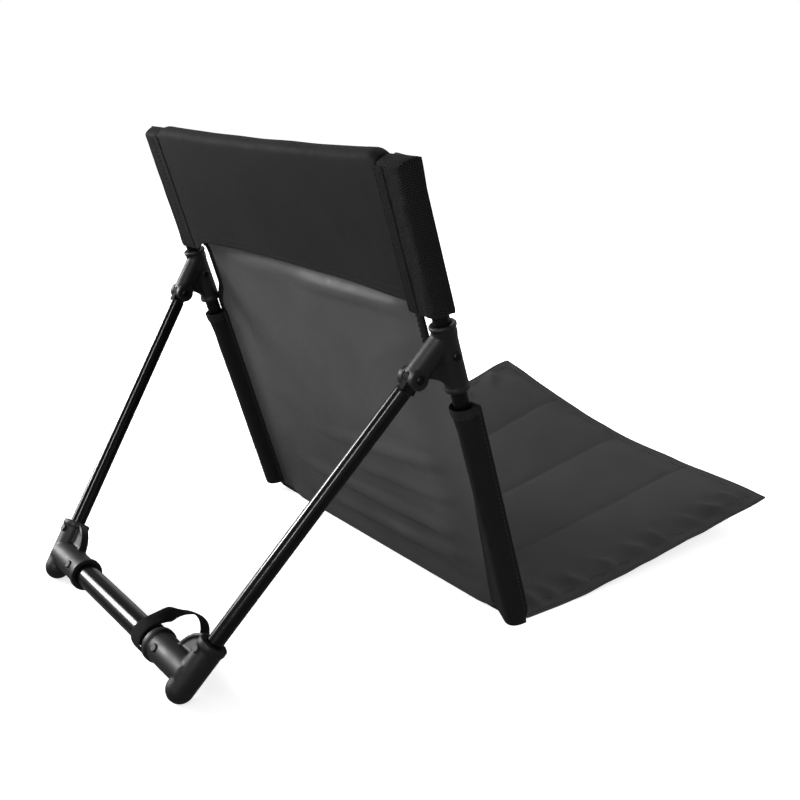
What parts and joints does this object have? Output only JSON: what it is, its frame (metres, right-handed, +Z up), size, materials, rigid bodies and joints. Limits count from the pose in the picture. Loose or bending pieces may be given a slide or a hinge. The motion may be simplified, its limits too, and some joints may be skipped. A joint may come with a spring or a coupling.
{
  "type": "folding floor chair",
  "caption": "Low folding camping chair: a quilted ground seat hinged to a cloth back on two poles, propped by a fold-in rear frame of tubes and moulded joints.",
  "frame": {"origin": "on the floor under the middle of the outline", "axes": "+Z up, +Y the way the sitter faces, +X to the sitter's right"},
  "size_m": [0.42, 0.6196, 0.3903],
  "materials": {
    "cover_cloth": "woven, quilted",
    "panel_cloth": "coated inner face of woven cloth",
    "pocket_cloth": "plain weave",
    "sleeve_cloth": "close weave",
    "foam": "closed-cell sheet",
    "webbing": "hook-and-loop webbing",
    "black_tube": "gloss black",
    "black_plastic": "fine moulded grain",
    "cap_plastic": "plain",
    "fastener": "blackened"
  },
  "bodies": {
    "seat": {"seat_top_cover": "cover_cloth", "seat_foam": "foam", "seat_bottom_cover": "cover_cloth"},
    "back": {"back_panel": "panel_cloth", "pocket_panel": "pocket_cloth", "left_upper_sleeve": "sleeve_cloth", "right_upper_sleeve": "sleeve_cloth", "left_lower_sleeve": "sleeve_cloth", "right_lower_sleeve": "sleeve_cloth", "left_notch_binding": "sleeve_cloth", "right_notch_binding": "sleeve_cloth", "left_pole": "black_tube", "right_pole": "black_tube", "pole_top_caps": "cap_plastic", "pole_feet": "cap_plastic", "left_hub": "black_plastic", "right_hub": "black_plastic", "hub_rivets": "fastener", "knuckle_pins": "fastener"},
    "prop": {"left_knuckle": "black_plastic", "right_knuckle": "black_plastic", "left_leg": "black_tube", "right_leg": "black_tube", "left_elbow": "black_plastic", "right_elbow": "black_plastic", "rear_bar": "black_tube", "leg_rivets": "fastener", "bar_rivets": "fastener"},
    "strap": {"strap": "webbing"}
  },
  "joints": [
    {"name": "back_fold", "type": "hinge", "parent": "seat", "child": "back", "pos_m": [0, -0.02088, 0.0045], "axis": [-1, 0, 0], "range_deg": [0, 88]},
    {"name": "prop_fold", "type": "hinge", "parent": "back", "child": "prop", "pos_m": [0, -0.13108, 0.23289], "axis": [1, 0, 0], "range_deg": [0, 52]},
    {"name": "strap_slide", "type": "slide", "parent": "prop", "child": "strap", "axis": [-1, 0, 0], "range_m": [0, 0.118]}
  ]
}
